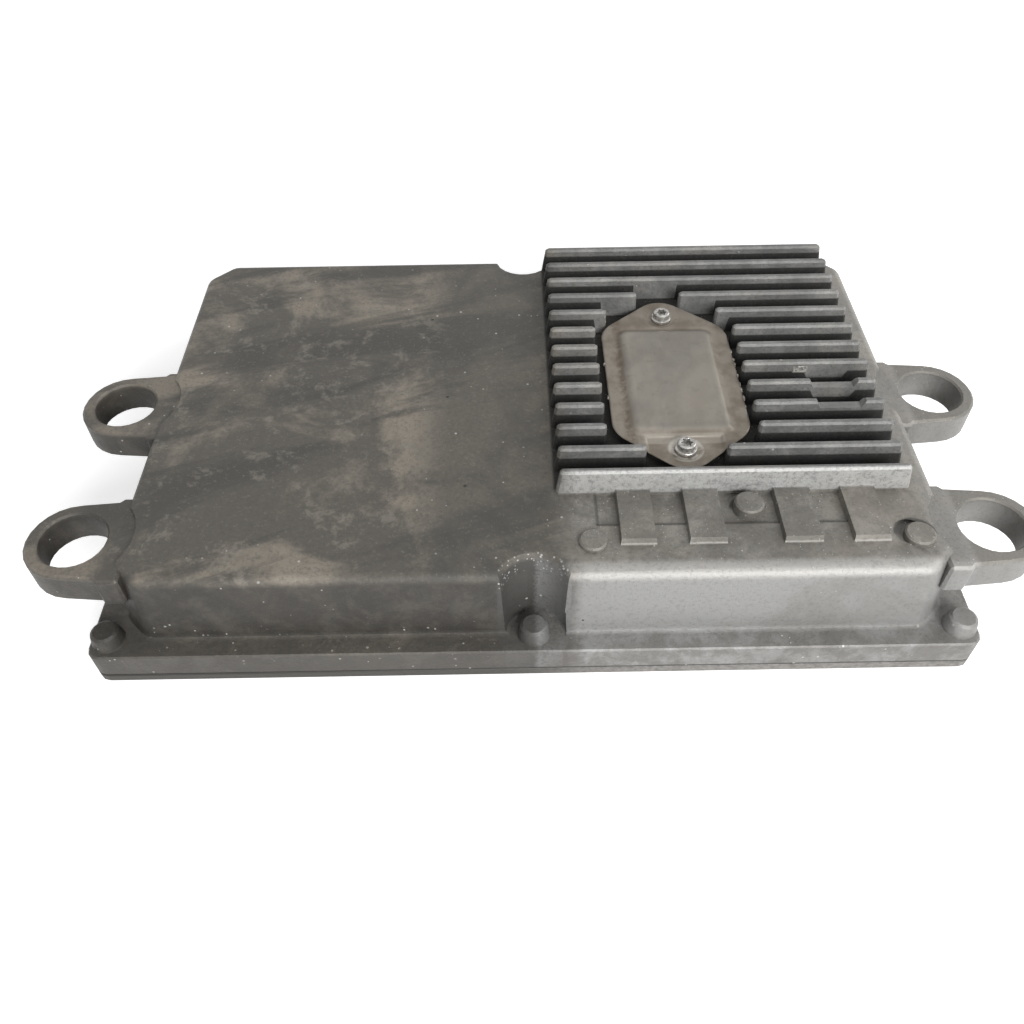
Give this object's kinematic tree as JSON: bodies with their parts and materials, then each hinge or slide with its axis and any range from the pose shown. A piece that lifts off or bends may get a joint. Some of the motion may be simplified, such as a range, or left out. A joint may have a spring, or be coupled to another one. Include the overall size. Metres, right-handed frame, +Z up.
{
  "type": "fuel injection control module",
  "caption": "Flat cast aluminium engine control case with cooling fins, mounting ears, a screwed access cover and pin headers through its base plate.",
  "frame": {"origin": "underside of the base plate, below the middle of the case", "axes": "+X to the right along the fins, +Y to the rear, towards the pin headers, +Z up through the finned top"},
  "size_m": [0.3044, 0.1768, 0.0468],
  "materials": {
    "cast_case": "weathered casting",
    "plate": "satin",
    "cover": "satin",
    "screws": "satin",
    "seals": "matte",
    "header_seals": "matte",
    "boards": "satin",
    "headers": "matte",
    "chips": "matte",
    "link": "matte",
    "capacitors": "gloss sleeve",
    "windings": "gloss",
    "core": "matte",
    "tabs": "satin",
    "terminals": "satin"
  },
  "bodies": {
    "root": {"upper_case": "cast_case", "base_plate": "plate", "case_seal": "seals", "base_screw_1": "screws", "base_screw_2": "screws", "base_screw_3": "screws", "base_screw_4": "screws", "base_screw_5": "screws", "base_screw_6": "screws", "base_screw_7": "screws", "base_screw_8": "screws", "access_cover": "cover", "cover_gasket": "seals", "cover_screw_rear": "screws", "cover_screw_front": "screws", "logic_board": "boards", "power_board": "boards", "injector_header": "headers", "engine_header": "headers", "supply_header": "headers", "injector_header_seal": "header_seals", "engine_header_seal": "header_seals", "supply_header_seal": "header_seals", "logic_screw_1": "screws", "logic_screw_2": "screws", "logic_screw_3": "screws", "logic_screw_4": "screws", "logic_screw_5": "screws", "logic_screw_6": "screws", "power_screw_1": "screws", "power_screw_2": "screws", "power_screw_3": "screws", "power_screw_4": "screws", "capacitor_1": "capacitors", "capacitor_2": "capacitors", "capacitor_3": "capacitors", "capacitor_4": "capacitors", "inductor_1": "windings", "inductor_2": "windings", "boost_coil": "core", "processor_chip": "chips", "driver_chip": "chips", "board_link": "link", "power_transistor_1": "tabs", "power_transistor_2": "tabs", "power_transistor_3": "tabs", "power_transistor_4": "tabs", "test_terminal_1": "terminals", "test_terminal_2": "terminals", "test_terminal_3": "terminals", "test_terminal_4": "terminals"}
  },
  "joints": []
}
